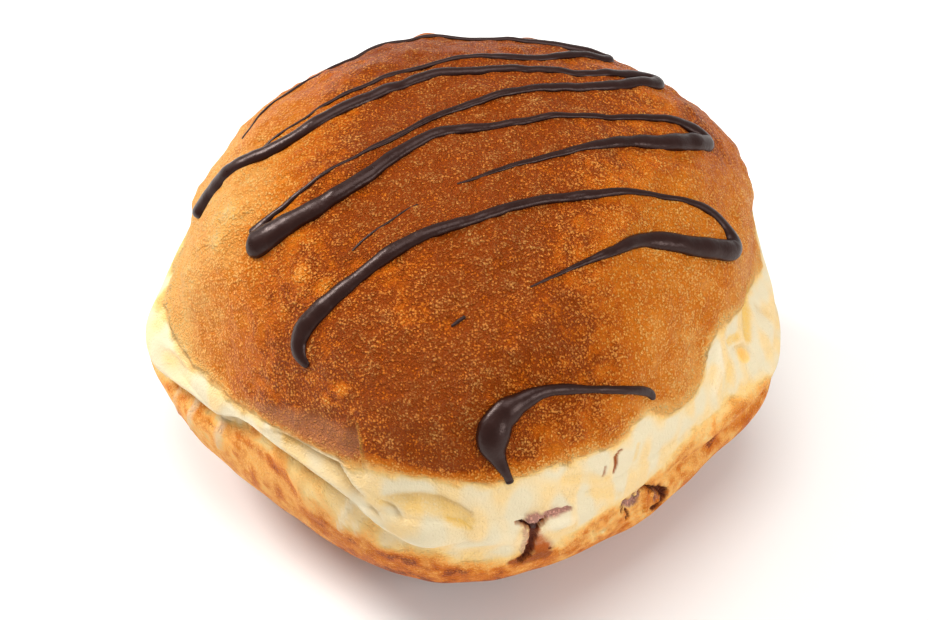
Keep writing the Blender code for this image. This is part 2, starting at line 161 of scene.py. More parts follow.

# Marks: a line of azimuth, height and half width in mm, how high it stands out in mm or is cut in where below
# zero, and its colours. Their golden tint is painted shade in creases and dents and a painted highlight along
# the crust step's edge, and their whitish tint is a painted highlight on ridges and swells. A cut deeper than
# FILLING_FACE shows the filling.
MARKS = (
    ("bulge", ((262, 26.6, 3), (264, 26.2, 3)), 0.7, {}),
    # Painted highlight along the edge of the crust's step
    ("step_rim", ((248.2, 38.4, 0.3), (249.6, 36.9, 0.4), (250.4, 35.1, 0.45), (251, 33.3, 0.5),
     (251.7, 31.8, 0.4)), 0.1, {"crease_shade_and_edge_light": 0.4}),
    ("arch_shade", ((255, 29.7, 0.7), (259, 30.4, 1.2), (264, 30.6, 1.5), (269, 29.6, 1.2),
     (271.5, 28.4, 0.6)), -0.1, {"crease_shade_and_edge_light": 0.5}),
    ("eye", ((267.3, 28.7, 0.35), (269.2, 28.2, 0.55), (271.5, 27.5, 0.25)), -0.3, {"crease_shade_and_edge_light": 0.6}),
    ("white_crease", ((248.3, 27, 0.6), (246.6, 24, 0.55), (245.1, 21, 0.5), (244.2, 19, 0.4)),
     0.3, {"pale": 0.6}),
    ("white_crease_2", ((248.6, 22.4, 0.5), (248.4, 20, 0.4)), 0.15, {"pale": 0.4}),
    ("pale_ridge_1", ((197, 21.3, 0.6), (198.6, 19.2, 0.6), (198, 15.3, 0.4)), 0.25, {"pale": 0.5}),
    ("pale_ridge_2", ((206.8, 22.4, 0.7), (207.5, 20.6, 0.8), (207.3, 17, 0.5)), 0.25, {"pale": 0.5}),
    ("pale_ridge_3", ((191, 18, 0.5), (192.3, 14.5, 0.5)), 0.2, {"pale": 0.35}),
    ("dark_corner_1", ((189.6, 18.3, 0.8), (191.6, 19.2, 0.7)), -0.25, {"brown": 0.28}),
    ("dark_corner_2", ((200.5, 21.4, 0.5), (203.6, 21.8, 0.9), (203.4, 20.5, 0.7)), -0.3, {"brown": 0.3}),
    ("dark_corner_3", ((216.6, 24.7, 0.5), (219.2, 25.1, 0.8)), -0.2, {"brown": 0.28}),
    ("base_patch_1", ((224.5, 23.6, 0.9), (226.8, 22.5, 1.1), (230, 23, 1.1), (232, 21.1, 0.8)),
     -0.15, {"brown": 0.26}),
    ("base_patch_2", ((214, 19.5, 1.5), (219, 17, 1.6)), 0.2, {"brown": 0.12}),
    ("base_patch_3", ((236, 17, 1), (240, 16.2, 1.4)), -0.2, {"brown": 0.16}),
    ("right_valley", ((356.8, 32.3, 1), (354, 30.2, 1.1), (351.6, 29.2, 1), (349.2, 28.2, 0.8)),
     -0.4, {"crease_shade_and_edge_light": 0.85}),
    ("right_dent", ((343.2, 30.8, 0.7), (346.2, 29.8, 0.6)), -0.3, {"crease_shade_and_edge_light": 0.7}),
    ("orange_spot", ((345, 27.6, 0.85), (345.6, 27, 0.85)), -0.1, {"brown": 0.3}),
    ("right_ridge", ((338.8, 32, 0.7), (336.8, 29.4, 0.9), (332.7, 28, 0.8)), 0.3, {"pale": 0.4}),
    ("right_shade", ((340.3, 28.3, 0.8), (337.8, 27.1, 0.8), (335.7, 25.5, 0.8)), -0.2, {"crease_shade_and_edge_light": 0.35}),
    ("brown_streak", ((331.4, 24, 0.3), (330.6, 22.2, 0.5), (332, 19.6, 0.6)), 0, {"brown": 0.22}),
    ("brown_spot", ((333, 18.6, 0.7), (333.6, 17.2, 0.7)), -0.1, {"brown": 0.4}),
    ("front_smear", ((307.9, 30.5, 0.4), (307.2, 28, 0.4)), -0.1, {"crease_shade_and_edge_light": 0.4}),
    ("front_dent_1", ((290, 31.4, 0.6), (295, 29.9, 1), (299.5, 28, 0.5)), -0.2, {"crease_shade_and_edge_light": 0.22}),
    ("front_dent_2", ((295, 27.3, 0.5), (299.5, 25.6, 0.9), (303, 23.6, 0.4)), -0.2, {"crease_shade_and_edge_light": 0.2}),
    ("front_swell", ((287.5, 24.6, 1.2), (290.5, 23.9, 1.2)), 0.35, {"pale": 0.45}),
    ("left_of_slit", ((277, 24.2, 1.8), (279.6, 22.4, 1.8)), 0.3, {"pale": 0.2}),
    ("back_crease_1", ((70, 29, 0.7), (72, 24, 0.8), (76, 19, 0.5)), -0.35, {"crease_shade_and_edge_light": 0.4}),
    ("back_crease_2", ((112, 28, 0.6), (115, 23, 0.9), (114, 18, 0.5)), -0.4, {"crease_shade_and_edge_light": 0.4}),
    ("back_crease_3", ((150, 22, 0.6), (154, 17, 0.9), (156, 12, 0.5)), -0.4, {"crease_shade_and_edge_light": 0.1}),
    ("back_ridge", ((92, 22, 0.8), (95, 17, 0.9), (94, 12, 0.6)), 0.4, {"pale": 0.3}),
    ("stem_smear", ((284.2, 22.5, 0.8), (284.8, 20.6, 1.3), (285.8, 18.8, 1.5)),
     0, {"rust": 0.75, "stain": 0.2}),
    ("low_smear", ((279.6, 17.8, 0.7), (283, 17.3, 1.2), (287, 17, 0.8)), -0.1, {"rust": 0.9, "stain": 0.2}),
    ("stem_speck", ((287.2, 18.8, 0.22), (287.4, 18.6, 0.22)), 0, {"stain": 0.9}),
    ("tick_long", ((303.6, 31.7, 0.12), (302.3, 31.5, 0.2), (301.6, 31.1, 0.35), (301.7, 29.8, 0.35),
     (301.3, 28.5, 0.25)), -0.2, {"tick": 1}),
    ("tick_short", ((299, 30.4, 0.2), (298.6, 28.9, 0.2)), -0.1, {"tick": 0.75}),
    ("split_1", ((305.1, 18.8, 0.22), (305, 18, 0.15)), -0.5, {"stain": 0.9}),
    ("split_2", ((306.1, 18.3, 0.18), (307.2, 16.7, 0.2), (308.2, 15.2, 0.14)), -0.4, {"stain": 0.8}),
    ("split_3", ((306.9, 16.2, 0.2), (307.3, 15.4, 0.18)), -0.3, {"stain": 0.8}),
)

# Tears, cut in like marks: torn crumb in them is rough. The dough round them is first brought down to
# TEAR_LEVEL, and their stain has a halo.
TEAR_LEVEL = 0.2 * MM
TEAR_REACH = 2.0
RUST_HALO = 0.85
TEARS = (
    ("strip", ((284.7, 26.6, 0.5), (286.4, 26.8, 0.7), (288, 26.7, 0.65), (289.7, 26.5, 0.5),
     (291, 26.3, 0.25)), -0.3, {"torn": 1, "stain": 0.25}),
    ("stem", ((283.4, 25, 0.6), (283.5, 22.6, 0.6), (283.4, 20.6, 0.6), (282.7, 19, 0.7),
     (281.7, 17.8, 0.8)), -0.75, {"stain": 1}),
    ("stem_rim", ((281.6, 25.3, 0.35), (281.9, 22, 0.4), (281.4, 19.5, 0.3)), 0.15, {"torn": 0.6}),
    ("slit", ((280, 27.1, 0.18), (281, 26.9, 0.35), (282, 26.2, 0.5), (283.4, 25.3, 0.65),
     (284.6, 25.7, 0.45), (285.6, 26.2, 0.25)), -3, {"stain": 1}),
    ("hump", ((281.9, 27.1, 0.55), (283.2, 27.1, 0.75), (284.6, 27, 0.55)), 0.6, {"torn": 1}),
    ("crumb", ((305.7, 19.4, 0.4), (307.7, 18.9, 0.8), (309.5, 18.4, 0.9)),
     -0.4, {"torn": 1, "stain": 0.12}),
    ("roof", ((304.7, 19.5, 0.18), (305, 20.5, 0.25), (307.6, 20.3, 0.4), (310.3, 20.1, 0.42),
     (312.4, 19.4, 0.25), (314, 18.5, 0.18)), -1.8, {"stain": 1}),
    ("flap", ((312.3, 18.2, 0.6), (313, 16.1, 0.7), (313.4, 14.3, 0.6)), 0.25, {"brown": 0.1}),
    ("ring", ((314.4, 17.9, 0.45), (316.4, 17.2, 0.55), (318.3, 15.6, 0.65), (318.7, 13.9, 0.65),
     (317.2, 13.4, 0.7), (315.4, 13.8, 0.5)), -1, {"stain": 1}),
    ("ring_middle", ((316, 16.3, 0.3), (316, 15.2, 0.35)), -0.4, {"torn": 0.8}),
)

# Dull facet along the crust's edge, its plum tone partly its own colour and partly painted sheen: azimuth in
# degrees and height in mm of its upper side, and where it starts and stops, in degrees
FACET_TOP = ((205, 26), (213, 28.8), (222, 32.6), (231, 35.4), (239, 37.0), (248, 37.8), (252, 37.8))
FACET_FROM = 204
FACET_TO = 249.6
FACET_SHARE = 0.85
FACET_SUNK = 0.3 * MM

# Browning of the dome, 1 for the darkest. Paler sides, partly real browning and partly painted light that
# makes the lit left side and the dimly lit front paler: how much paler, the direction in which it comes in,
# from where and over how many mm, and the least share of it, which grows to all along a second direction.
DOME_BROWN = 1.04
DOME_PALER_AND_LIT = (
    (0.66, (-1, 0), 6, 30, 0.35, (0, 1), -26, 22),
    (0.46, (1, 0), 4, 28, 0.5, (0, -1), -12, 24),
    (0.20, (1, 0), 32, 8, 1, (0, 1), 0, 1),
    (0.14, (0, 1), 24, 16, 1, (0, 1), 0, 1),
    (0.06, (0, -1), 8, 16, 1, (0, 1), 0, 1),
)
DOME_DRIFT = ((22 * MM, 0.03, 31), (8 * MM, 0.02, 32), (3 * MM, 0.02, 33))
DOME_RIM = 2.2 * MM  # height over which the dome darkens from its edge, and its share of brown at the edge
DOME_RIM_BROWN = 0.55
BLISTER_PALEST = 0.3

# Browned base: azimuth in degrees, height of its upper edge and how softly it comes in, in mm, and browning
BASE_BROWN = (
    (10, 16, 3.5, 0.58), (40, 17, 4, 0.6), (75, 19, 4, 0.6), (110, 17.5, 3, 0.58), (140, 19, 3, 0.56),
    (165, 17.5, 2, 0.52), (185, 17, 1.6, 0.46), (190.5, 18.6, 1.4, 0.46), (195, 21.2, 1.4, 0.46),
    (205, 22, 1.4, 0.46), (213.5, 24, 1.5, 0.46), (220, 25.3, 1.6, 0.47), (226.5, 25, 1.8, 0.5),
    (233, 24, 2.5, 0.52), (240, 23, 4, 0.54), (246, 22.5, 4.5, 0.68), (258, 21.5, 4.5, 0.76),
    (270, 21, 4.5, 0.78), (285, 20.5, 5, 0.66), (293, 22.2, 5.5, 0.56), (299, 25.2, 6, 0.52),
    (305, 24, 6, 0.52), (310, 23.2, 6, 0.52), (314, 23.4, 6, 0.52), (318, 26.4, 7, 0.52),
    (327, 27.4, 7.5, 0.52), (337, 27, 7, 0.54), (348, 24, 5.5, 0.54), (358, 17, 3.5, 0.55),
)
BASE_EDGE_RIPPLES = ((6 * MM, 0.45, 34), (2.4 * MM, 0.2, 36))
BASE_DRIFT = ((5 * MM, 0.08, 37), (1.8 * MM, 0.07, 38))
BASE_DARKER = 0.25  # how much browner the base gets downwards, from which height and over how many mm
BASE_DARKER_FROM = 15
BASE_DARKER_OVER = 8
BASE_GRAIN = 0.55

# Tan of the belt: all over, in streaks, as painted shade under the lip, and as a glow next to the crust
BELT_BROWN = 0.05
BELT_STREAK = 0.07
BELT_STREAKS = np.array((1, 1, 0.45))  # squeezes the streaks' pattern, so that they stand upright
STREAK_RIPPLE = (4 * MM, 1, 35)
SHADE_UNDER_LIP = 0.3
SHADE_UNDER_LIP_STREAK = 0.3
SHADE_UNDER_LIP_AT = ((232, 26, 1),)
SHADE_UNDER_LIP_SOFT = 2 * MM
GLOW = 0.24
GLOW_WIDE = 1.4 * MM

# Drizzle: points on a polar map, in degrees right and back of the top, with the bead's width in mm
DRIZZLE = (
    ("back_loop", ((-46, 22, 0.5), (-38, 30, 0.6), (-28, 36, 0.7), (-16, 41, 0.9), (-4, 41.5, 0.9),
     (6, 40.5, 1.1), (13, 39.5, 1.4), (19, 37.5, 1.9), (25, 36.8, 1.9), (26, 35.4, 1.8), (19.5, 31.5, 1.5),
     (13.5, 27, 1.4), (7, 25, 1.3), (0, 24, 0.9), (-8, 21.5, 0.9), (-17, 18, 0.8), (-26, 14.5, 0.5),
     (-34, 12.5, 0.5), (-41, 11, 0.4))),
    ("second_loop", ((-64, 9.8, 2.7), (-61, 11.2, 2.8), (-52.5, 11, 2.6), (-44, 10, 2.3), (-35, 9.5, 2.2),
     (-27.5, 10, 2.1), (-20, 12, 2), (-12, 15, 1.9), (-4, 18.5, 1.8), (4, 19, 1.6), (12, 20, 1.3),
     (20, 22, 1.5), (26, 25.5, 1.8), (31, 28.4, 2.2), (33, 28, 2.3), (32.6, 26.3, 2.2), (27.5, 22.5, 2),
     (22, 18.5, 1.8), (15, 15.5, 1.6), (8, 12.5, 1.3), (1, 9, 1.2), (-6, 4.5, 0.9), (-11, 2.2, 0.9),
     (-16, 0, 0.5), (-25, -3.8, 0.6), (-34, -7.4, 0.9), (-40, -9.5, 1.4), (-44, -11.8, 2.6))),
    ("third_loop", ((-45.2, -12.6, 3.7), (-44.2, -13.8, 4.1), (-38.5, -13.3, 3.6), (-30, -11, 2.8),
     (-22, -8, 2.4), (-14.5, -4, 2.2), (-8, 0.3, 2.1), (-3, 2.5, 1.8), (4, 4.2, 1.3), (12, 7.2, 1),
     (20, 10, 1), (27, 13, 1.1), (34, 16, 1.5), (40, 18, 2), (44.2, 18.4, 2.4), (44.8, 16.6, 2.6),
     (39.5, 13, 2.8), (33, 9, 2.5), (27.5, 7, 2.1), (20, 3.5, 1.5), (12, 0, 1), (5, -3.5, 0.7),
     (-1, -6, 0.25))),
    ("fourth_loop", ((-34.2, -45.6, 0.9), (-36.2, -42, 2), (-34.8, -38, 2.7), (-28, -33, 2.7),
     (-20, -27.4, 2.2), (-12.5, -21.8, 2), (-4, -16.2, 1.8), (4, -12.2, 1.5), (12, -9.8, 1.4), (20, -8, 1.5),
     (28, -5.5, 1), (38, -2.8, 0.8), (47, -0.9, 1.2), (54, -1.2, 1.8), (58, -3.2, 2.4), (58.6, -6, 2.8),
     (53.5, -9, 2.9), (46.5, -12, 2.8), (40, -13.5, 2.5), (34, -15.5, 2), (28, -20, 1.4), (20, -24, 0.7),
     (11, -28, 0.25))),
    ("hook", ((47, -50.4, 0.6), (46.6, -48.6, 1.1), (41, -48.8, 1.2), (34, -49.6, 1.2), (27, -50, 1.2),
     (21, -50, 1.4), (16, -50.4, 1.8), (12, -52.4, 2.7), (8, -55.6, 3.9), (6.3, -60, 4.2), (6.6, -63, 3.6),
     (8, -65.8, 2.1), (10, -68.8, 1.15), (11.4, -71.8, 1.15))),
    ("faint_line", ((-6, -10.4, 0.2), (-13, -15.4, 0.35), (-18, -19, 0.35), (-20.4, -21.4, 0.2))),
    ("short_line", ((-2.4, -36.4, 0.25), (-0.8, -34.8, 0.5), (0.9, -33.3, 0.45))),
)
STROKE_STEPS = 40  # steps from one place of a stroke to the next
BEAD_STEP = 0.22 * MM
BEAD_SIDES = 22
BEAD_LEAST = 0.15  # mm, the least width of a bead
BEAD_TALL = 0.82  # height of a bead over its half width
BEAD_SUNK = 0.6
BEAD_RIPPLE = 3.2 * MM
BEAD_WOBBLE = 0.04
BEAD_SOFTEN = 9  # sections on both sides over which a bead's middle line is evened out
BEAD_SEED = 60

# Filling, in mm
FILLING_RINGS = 140
FILLING_FACE = 1.0  # from the skin in to the chocolate that shows
FILLING_WIDER = 0.5  # that a tongue is wider than its tear
FILLING_SOFT = 0.6  # over which a tongue sinks back to the core
SKIN_LIFT = 40  # degrees up and down to which the skin is looked at from the core
SKIN_ROWS = 241
SKIN_COLUMNS = 721
FILLING_RIPPLE = (1.6 * MM, 0.15 * MM, 81)
FILLING_RIPPLE_AT = 30 * MM  # radius of the sphere on which its ripple is worked out

# Colours as seen in daylight, 0 to 255
CREAM = (210, 197, 166)
STRAW = (230, 192, 124)
GOLD = (246, 176, 90)
TAN = (218, 120, 22)
BROWN = (192, 90, 6)
DARK_BROWN = (142, 58, 2)
# Golden painted shade for creases and dents, and a painted highlight along the crust step's edge
GOLDEN_SHADE_AND_EDGE_LIGHT = (220, 176, 84)
# Painted shade laid below the ledges of the belt's folds
SHADE_BELOW_LEDGE = (182, 142, 84)
# Whitish painted highlight on ridges, swells and the upper edges of ledges
WHITISH_HIGHLIGHT = (228, 216, 188)
MAUVE = (208, 150, 132)
STAIN = (82, 32, 18)
# Plum of the dull facet, partly its own colour and partly painted sheen
PLUM = (178, 116, 80)
# Peach of the painted glints on the crust's lit grain tops
GLINT_PEACH = (255, 194, 108)
TICK = (136, 66, 20)
RUST = (168, 84, 30)
CHOCOLATE = (36, 11, 6)
SOFT_CHOCOLATE = (66, 28, 18)
FLOOR = (240, 239, 237)
CRUMB_DARK = 0.74  # shade of the torn crumb between its lit grains
CHOCOLATE_DARK = 0.7

# Crust's colours by browning, and the tints laid over them: mask, how much of it, and its colour. The tints
# are painted shade below ledges, painted shade in creases, painted highlight on ridges, and the dull facet's
# plum
CRUST_COLOURS = ((0.0, CREAM), (0.2, STRAW), (0.45, GOLD), (0.7, TAN), (0.9, BROWN), (1.0, DARK_BROWN))
TINTS = (("hollow", 1.0, SHADE_BELOW_LEDGE), ("crease_shade_and_edge_light", 1.0, GOLDEN_SHADE_AND_EDGE_LIGHT), ("pale", 1.0, WHITISH_HIGHLIGHT), ("matte", 0.85, PLUM))

# Grain and mottle sizes in metres, and sizes of the grain's two layers as shares of the grain
DOUGH_GRAIN = (0.00037, 0.0026)
CHOCOLATE_GRAIN = (0.0009, 0.0016)
GRAIN_LAYERS = (1.0, 0.6)

# Finish of the surfaces: what is the same all over goes to the shader's sockets
DOUGH_FINISH = {
    "Specular IOR Level": 0.16,
    "Specular Tint": (1.0, 0.72, 0.42, 1.0),
    "Subsurface Weight": 0.06,
    "Subsurface Radius": (1.0, 0.55, 0.3),
    "Subsurface Scale": 0.0012,
}
CHOCOLATE_FINISH = {"Specular IOR Level": 0.3, "Specular Tint": (1.0, 0.76, 0.72, 1.0)}
DOUGH_ROUGHNESS = 0.62
DOUGH_BUMP = 0.00055
DRIZZLE_ROUGHNESS = 0.34
DRIZZLE_BUMP = 0.00008
FILLING_ROUGHNESS = 0.5
FILLING_BUMP = 0.0003

# Light: name, place, size, power and colour, all aimed at one target
LIGHTS = (
    ("key_left", (-0.44, 0.20, 0.42), 0.22, 3.9, (1.0, 0.98, 0.95)),
    ("fill_right", (0.46, -0.36, 0.30), 0.30, 1.9, (1.0, 0.98, 0.96)),
    ("top", (0.0, 0.0, 0.7), 0.5, 2.6, (1.0, 1.0, 1.0)),
)
LIGHT_TARGET = (0, 0, 0.028)
WORLD_STRENGTH = 0.56
FLOOR_SIDE = 3.0
FLOOR_ROUGHNESS = 0.6

# Camera, at the photograph's viewing angle
CAMERA_ELEVATION = 45
CAMERA_DISTANCE = 0.45
CAMERA_LENS = 129
CAMERA_SENSOR = 36
CAMERA_CLIP = 0.01
CAMERA_TARGET = (0.5 * MM, -1.25 * MM, 26 * MM)


def smooth(t):
    """0 below 0, 1 above 1, and a soft step between."""
    t = np.clip(t, 0, 1)
    return t * t * (3 - 2 * t)


def waves(angle, table):
    """Sum of cosines round the bun, each given by its number of swells, its height and its crest."""
    return sum(out * np.cos(count * (angle - radians(crest))) for count, out, crest in table)


def humps(angle, table):
    """Sum of bell curves round the bun, each given by its azimuth, its half width and its height."""
    total = 0
    for crest, half, height in table:
        off = (angle - radians(crest) + np.pi) % (2 * np.pi) - np.pi
        total = total + height * np.exp(-((off / radians(half)) ** 2))
    return total


def crust_edge(angle):
    """Height at which the solid's crust ends: a mean height with waves."""
    return CRUST_EDGE + waves(angle, CRUST_EDGE_WAVES)


def brown_edge(angle):
    """Height at which the brown crust ends: the crust's edge with its smaller ups and downs."""
    return crust_edge(angle) + humps(angle, BROWN_EDGE_HUMPS)


def lip_edge(angle):
    """Height of the lip's lower edge: a mean height with humps."""
    return LIP_EDGE + humps(angle, LIP_EDGE_HUMPS)


def latitude(height):
    """Angle up from the waist at which the side profile has this height."""
    return np.arcsin(np.clip((height - WAIST) / DOME_HEIGHT, 0, 1) ** (DOME_SQUARENESS / 2))


def folds(angle, z):
    """How far the belt's large folds stand out: crust's step, lip with its groove, and pockets."""
    top, low = crust_edge(angle), lip_edge(angle)
    crust = CRUST_PROUD * smooth((z - brown_edge(angle)) / CRUST_STEP + 0.5)
    across = (z - low) / (top - low)
    forward = smooth((across - LIP_FROM) / (LIP_FULL - LIP_FROM))
    lip = LIP_OUT * forward * (1 - smooth((across - LIP_FADES) / (1 - LIP_FADES)))
    groove = GROOVE_DEEP * np.exp(-(((z - low + GROOVE_HALF) / GROOVE_HALF) ** 2))
    dents = 0
    for crest, half, height, tall, deep in POCKETS:
        dents = dents + deep * humps(angle, ((crest, half, 1),)) * np.exp(-(((z - height) / tall) ** 2))
    return crust + (lip - groove) * humps(angle, LIP_HUMPS) - dents


def bun_form(angle, lift):
    """Point of the bun's main form at an azimuth and a latitude.

    The side profile is a superellipse, taller above the waist than below it. Its radius blends the base's
    wavy outline into the dome's, the belt adds a round bulge and the folds, and the base is cut off flat.
    """
    above = np.sin(lift) > 0
    power = np.where(above, 2 / DOME_SQUARENESS, 2 / BASE_SQUARENESS)
    share_out = np.abs(np.cos(lift)) ** power
    share_up = np.sign(np.sin(lift)) * np.abs(np.sin(lift)) ** power
    z = WAIST + np.where(above, DOME_HEIGHT, BASE_DEPTH) * share_up
    dome = DOME_RADIUS + waves(angle, DOME_WAVES) + humps(angle, DOME_HUMPS)
    base = BASE_RADIUS + waves(angle, BASE_WAVES) + humps(angle, BASE_HUMPS)
    blend = smooth((z - BLEND_FROM) / BLEND_OVER)
    from_belt = (z - BELT_HEIGHT - waves(angle, BELT_WAVES)) / BELT_HALF
    belt = BELT_OUT * np.sqrt(np.clip(1 - from_belt**2, 0, 1))
    out = (dome * blend + base * (1 - blend)) * share_out + belt
    out = out + folds(angle, z) * smooth(share_out / FOLDS_FADE)
    x = out * np.cos(angle) - CENTRE[0]
    y = out * np.sin(angle) - CENTRE[1]
    return np.stack([x, y, np.maximum(z, 0)], -1)


def outward(angle, lift, step=0.004):
    """Unit normal of the main form, from the differences of its points over small steps both ways."""
    up = bun_form(angle, np.minimum(lift + step, np.pi / 2 - 1e-4)) - bun_form(angle, lift - step)
    round_it = bun_form(angle + step, lift) - bun_form(angle - step, lift)
    normal = np.cross(round_it, up)
    size = np.linalg.norm(normal, axis=-1, keepdims=True)
    top = np.array([0, 0, 1.0]) * np.sign(np.sin(lift))[..., None]
    return np.where(size > 1e-12, normal / np.maximum(size, 1e-12), top)


def ripple(points, wavelength, seed):
    """Sum of plane waves of about one wavelength in random directions, with a spread of 1."""
    draw = np.random.default_rng(seed)
    way = draw.normal(size=(RIPPLE_WAVES, 3))
    way *= 2 * np.pi / wavelength / np.linalg.norm(way, axis=1, keepdims=True)
    way *= draw.uniform(0.75, 1.35, (RIPPLE_WAVES, 1))
    phase = draw.uniform(0, 2 * np.pi, RIPPLE_WAVES)
    total = np.zeros(points.shape[:-1])
    for wave, start in zip(way, phase):
        total += np.cos(points @ wave + start)
    return total * (2 / RIPPLE_WAVES) ** 0.5


def ripples(points, table):
    """Sum of ripples, each given by its wavelength, its height and its seed."""
    return sum(height * ripple(points, wavelength, seed) for wavelength, height, seed in table)


def polar_place(right, back):
    """Azimuth and latitude of a place on a polar map, in degrees right and back of the top."""
    return np.arctan2(back, right), np.radians(90 - np.hypot(right, back))


def line_distance(angle, z, line):
    """Signed distance in mm from a line in the belt, unrolled flat: + above it, and the share along it."""
    line = np.array(line, float)
    u = (np.degrees(angle) - line[0, 0] + 180) % 360 - 180
    u = np.radians(u) * BELT_SPAN
    v = z / MM
    ends = np.stack([np.radians((line[:, 0] - line[0, 0] + 180) % 360 - 180) * BELT_SPAN, line[:, 1]], -1)
    best = np.full(u.shape, 1e9)
    side = np.ones(u.shape)
    along = np.zeros(u.shape)
    for n, (a, b) in enumerate(zip(ends, ends[1:])):
        run = b - a
        t = np.clip(((u - a[0]) * run[0] + (v - a[1]) * run[1]) / (run @ run), 0, 1)
        du, dv = u - a[0] - t * run[0], v - a[1] - t * run[1]
        far = np.hypot(du, dv)
        near = far < best
        best = np.where(near, far, best)
        side = np.where(near, np.sign(run[0] * dv - run[1] * du), side)
        along = np.where(near, n + t, along)
    return best * side, along


def near_belt(angle, z, line, reach):
    """Mask of the points close enough to a line in the belt to feel it."""
    turned = (line[:, 0] - line[0, 0] + 180) % 360 - 180
    middle = np.radians(line[0, 0] + (turned.max() + turned.min()) / 2)
    half = np.radians(turned.max() - turned.min()) / 2 + reach / BELT_SPAN
    off = np.abs((angle - middle + np.pi) % (2 * np.pi) - np.pi)
    return (off < half) & (z / MM > line[:, 1].min() - reach) & (z / MM < line[:, 1].max() + reach)


def along_line(angle, z, line, reach):
    """Points within reach of a line in the belt: their mask, signed distance and share along it.

    The last value is the line's third column at each point.
    """
    hit = near_belt(angle, z, line, reach)
    far, along = line_distance(angle[hit], z[hit], line[:, :2])
    return hit, far, along, np.interp(along, np.arange(len(line)), line[:, 2])


def ledge(angle, z, line, out, reach):
    """A fold's step: it stands out above its line, falls back below it, and fades with the distance.

    Also gives the shares of the painted shade below it and of the painted highlight along its upper edge.
    """
    offset, hollow, rim_highlight = (np.zeros(angle.shape) for _ in range(3))
    line = np.array(line, float)
    hit, far, along, back = along_line(angle, z, line, 3.5 * reach)
    ends = smooth(along / 1.2) * smooth((len(line) - 1 - along) / 1.2)
    share = back / line[:, 2].max() * ends
    above = out * share * np.exp(-np.maximum(far, 0) / reach)
    under = back * ends * np.exp(-((np.minimum(far, 0) / reach) ** 2))
    turn = smooth(far / STEP_WIDE + 0.5)
    offset[hit] = above * turn - under * (1 - turn)
    # Painted shade below the step, and painted highlight along its upper edge
    hollow[hit] = (1 - turn) * share * np.exp(-((np.minimum(far, 0) / reach) ** 2))
    rim_highlight[hit] = turn * share * np.exp(-((far / (0.45 * reach)) ** 2))
    return offset * MM, hollow, rim_highlight


def mark(angle, z, line, height):
    """A ridge, groove or spot along a line whose half width changes: a bell curve across, and its share."""
    offset, share = np.zeros(angle.shape), np.zeros(angle.shape)
    line = np.array(line, float)
    hit, far, _, half = along_line(angle, z, line, 2.2 * line[:, 2].max() + 0.3)
    out = np.abs(far) / half
    offset[hit] = height * np.exp(-(out**2) * 1.2)
    share[hit] = 1 - smooth((out - 0.5) / 0.9)
    return offset * MM, share


def tear(angle, z, points, line, height):
    """A cut or lump along a line with a level floor and ragged sides, and the shares of it and its halo."""
    offset, share, halo = (np.zeros(angle.shape) for _ in range(3))
    hit, far, _, half = along_line(angle, z, np.array(line, float), TEAR_REACH)
    ragged = 1 + ripples(points[hit], RAGGED_RIPPLES)
    out = np.abs(far) / (half * ragged)
    offset[hit] = height * (1 - smooth((out - 0.45) / 0.75))
    share[hit] = 1 - smooth((out - 0.8) / 0.45)
    halo[hit] = 1 - smooth((out - 0.7) / 1.1)
    return offset * MM, share, halo


def facet_share(angle, z, top):
    """Share of the dull facet that runs along the crust's edge and stops at a step."""
    degrees = np.degrees(angle)
    upper = np.interp(degrees, *np.array(FACET_TOP).T) * MM
    low_side = smooth((z - top) / (0.8 * MM))
    high_side = 1 - smooth((z - upper) / (1.6 * MM) + 0.6)
    start = smooth((degrees - FACET_FROM) / 14)
    step = FACET_TO + (35 * MM - z) / MM * 0.35
    return low_side * high_side * start * (1 - smooth((degrees - step) / 0.5 + 0.5))


